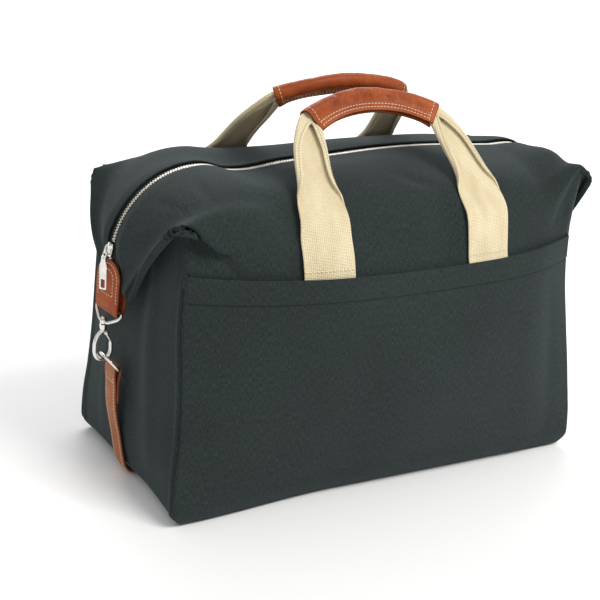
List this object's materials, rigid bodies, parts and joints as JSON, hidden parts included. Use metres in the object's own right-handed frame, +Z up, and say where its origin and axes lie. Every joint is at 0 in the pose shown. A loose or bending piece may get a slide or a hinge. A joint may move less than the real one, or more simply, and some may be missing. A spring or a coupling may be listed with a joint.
{
  "type": "doctor bag",
  "caption": "Zip-top canvas doctor bag with a front slip pocket, webbing carry handles with leather grips, and folded ears clipped down to end straps.",
  "frame": {"origin": "middle of the bag's bottom face", "axes": "+X along the zip, from the end with the zip pull to the other; -Y towards the pocket side; +Z up"},
  "size_m": [0.5614, 0.3069, 0.4076],
  "materials": {
    "canvas": "plain-weave waxed-look cotton canvas, matt",
    "board": "pressed fibre board",
    "webbing": "thick undyed cotton webbing",
    "leather": "smooth cognac leather with pale stitching",
    "strap_leather": "pale tan leather with burnished edges",
    "zip_tape": "woven black tape",
    "zip_metal": "bright plated teeth",
    "nickel": "polished nickel plate"
  },
  "bodies": {
    "bag": {"bottom_panel": "canvas", "base_board": "board", "front_panel": "canvas", "back_panel": "canvas", "left_end_panel": "canvas", "right_end_panel": "canvas", "front_pocket": "canvas", "zip_tape_front": "zip_tape", "zip_tape_back": "zip_tape", "zip_teeth_front": "zip_metal", "zip_teeth_back": "zip_metal", "zip_end_stops": "zip_metal", "front_webbing_feet": "webbing", "back_webbing_feet": "webbing", "left_zip_tab": "leather", "right_zip_tab": "leather", "left_strap": "strap_leather", "right_strap": "strap_leather"},
    "slider": {"zip_slider": "nickel"},
    "pull_link": {"zip_pull_link": "nickel"},
    "pull": {"zip_pull": "nickel"},
    "front_handle": {"front_handle_webbing": "webbing", "front_grip": "leather"},
    "back_handle": {"back_handle_webbing": "webbing", "back_grip": "leather"},
    "left_eye": {"left_eye": "nickel"},
    "left_hook": {"left_hook": "nickel", "left_gate_pin": "nickel"},
    "left_gate": {"left_gate": "nickel"},
    "left_ring": {"left_d_ring": "nickel"},
    "right_eye": {"right_eye": "nickel"},
    "right_hook": {"right_hook": "nickel", "right_gate_pin": "nickel"},
    "right_gate": {"right_gate": "nickel"},
    "right_ring": {"right_d_ring": "nickel"}
  },
  "joints": [
    {"name": "slider_travel", "type": "hinge", "parent": "bag", "child": "slider", "pos_m": [-0.172, 0, 0.232], "axis": [0, 1, 0], "range_deg": [0, 76]},
    {"name": "link_swing", "type": "hinge", "parent": "slider", "child": "pull_link", "pos_m": [-0.26832, 0, 0.24502], "axis": [0, 1, 0], "range_deg": [0, 100]},
    {"name": "pull_swing", "type": "hinge", "parent": "pull_link", "child": "pull", "pos_m": [-0.27123, 0, 0.23704], "axis": [0, 1, 0], "range_deg": [0, 45]},
    {"name": "front_handle_swing", "type": "hinge", "parent": "bag", "child": "front_handle", "pos_m": [0, -0.12188, 0.29053], "axis": [1, 0, 0], "range_deg": [0, 150]},
    {"name": "back_handle_swing", "type": "hinge", "parent": "bag", "child": "back_handle", "pos_m": [0, 0.12285, 0.29135], "axis": [-1, 0, 0], "range_deg": [0, 150]},
    {"name": "left_eye_swing", "type": "hinge", "parent": "bag", "child": "left_eye", "pos_m": [-0.2632, 0, 0.184], "axis": [0, 1, 0], "range_deg": [0, 1.2]},
    {"name": "left_hook_swivel", "type": "hinge", "parent": "left_eye", "child": "left_hook", "pos_m": [-0.27, 0, 0.16], "axis": [0, 0, 1], "range_deg": [-25, 25]},
    {"name": "left_gate_swing", "type": "hinge", "parent": "left_hook", "child": "left_gate", "pos_m": [-0.2666, 0, 0.157], "axis": [0, 1, 0], "range_deg": [0, 35], "stiffness_Nm_per_rad": 0.002, "springref_deg": -17.19},
    {"name": "left_ring_swing", "type": "hinge", "parent": "bag", "child": "left_ring", "pos_m": [-0.258, 0, 0.121], "axis": [0, 1, 0], "range_deg": [0, 3.5]},
    {"name": "right_eye_swing", "type": "hinge", "parent": "bag", "child": "right_eye", "pos_m": [0.2632, 0, 0.184], "axis": [0, -1, 0], "range_deg": [0, 1.2]},
    {"name": "right_hook_swivel", "type": "hinge", "parent": "right_eye", "child": "right_hook", "pos_m": [0.27, 0, 0.16], "axis": [0, 0, 1], "range_deg": [-25, 25]},
    {"name": "right_gate_swing", "type": "hinge", "parent": "right_hook", "child": "right_gate", "pos_m": [0.2666, 0, 0.157], "axis": [0, -1, 0], "range_deg": [0, 35], "stiffness_Nm_per_rad": 0.002, "springref_deg": -17.19},
    {"name": "right_ring_swing", "type": "hinge", "parent": "bag", "child": "right_ring", "pos_m": [0.258, 0, 0.121], "axis": [0, -1, 0], "range_deg": [0, 3.5]}
  ]
}
